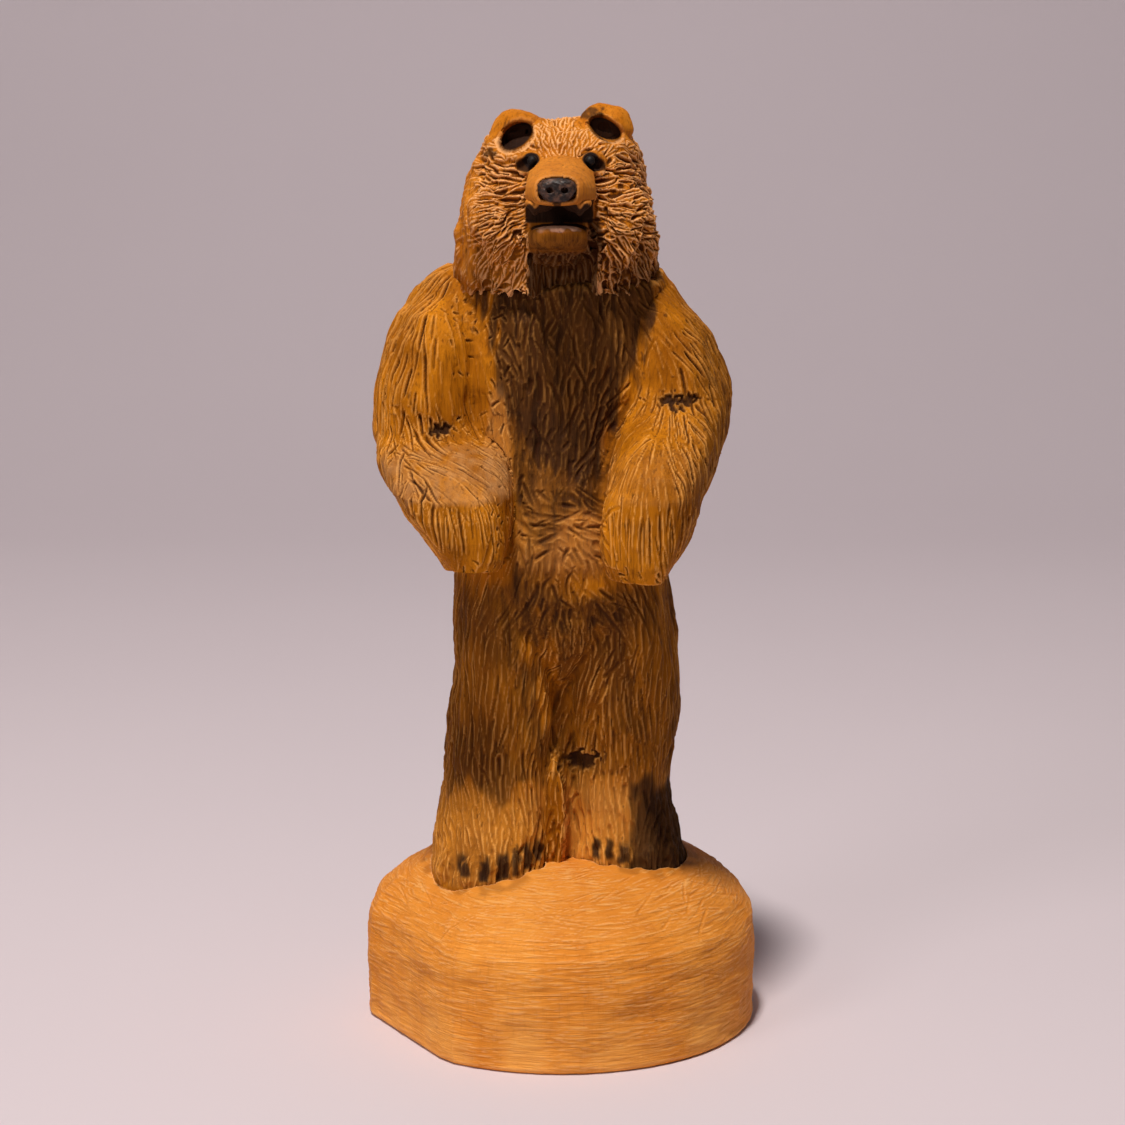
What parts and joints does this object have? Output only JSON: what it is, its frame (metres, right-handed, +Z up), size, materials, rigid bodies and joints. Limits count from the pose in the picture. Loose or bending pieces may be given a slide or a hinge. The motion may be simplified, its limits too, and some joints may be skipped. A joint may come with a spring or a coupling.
{
  "type": "carved animal figurine",
  "caption": "Standing bear carved in wood with gouged fur, arms at its sides and mouth open, on a domed round base with one flat side; stands on its flat underside as an ornament.",
  "frame": {"origin": "centre of the base's underside, on the axis of the log the base is cut from", "axes": "+Z up through the head, -Y the way the bear faces, +X towards its left arm"},
  "size_m": [0.1286, 0.1286, 0.2996],
  "materials": {
    "base_wood": "pale, sanded, thin satin varnish",
    "figure_wood": "orange-brown stain over gouge cuts, satin varnish",
    "dark_stain": "dark stain, semi-gloss",
    "bead": "polished black",
    "dowel_wood": "bare wood"
  },
  "bodies": {
    "root": {"base": "base_wood", "body": "figure_wood", "head": "figure_wood", "nose": "dark_stain", "right_eye": "bead", "left_eye": "bead", "neck_dowel": "dowel_wood", "right_foot_dowel": "dowel_wood", "left_foot_dowel": "dowel_wood"}
  },
  "joints": []
}
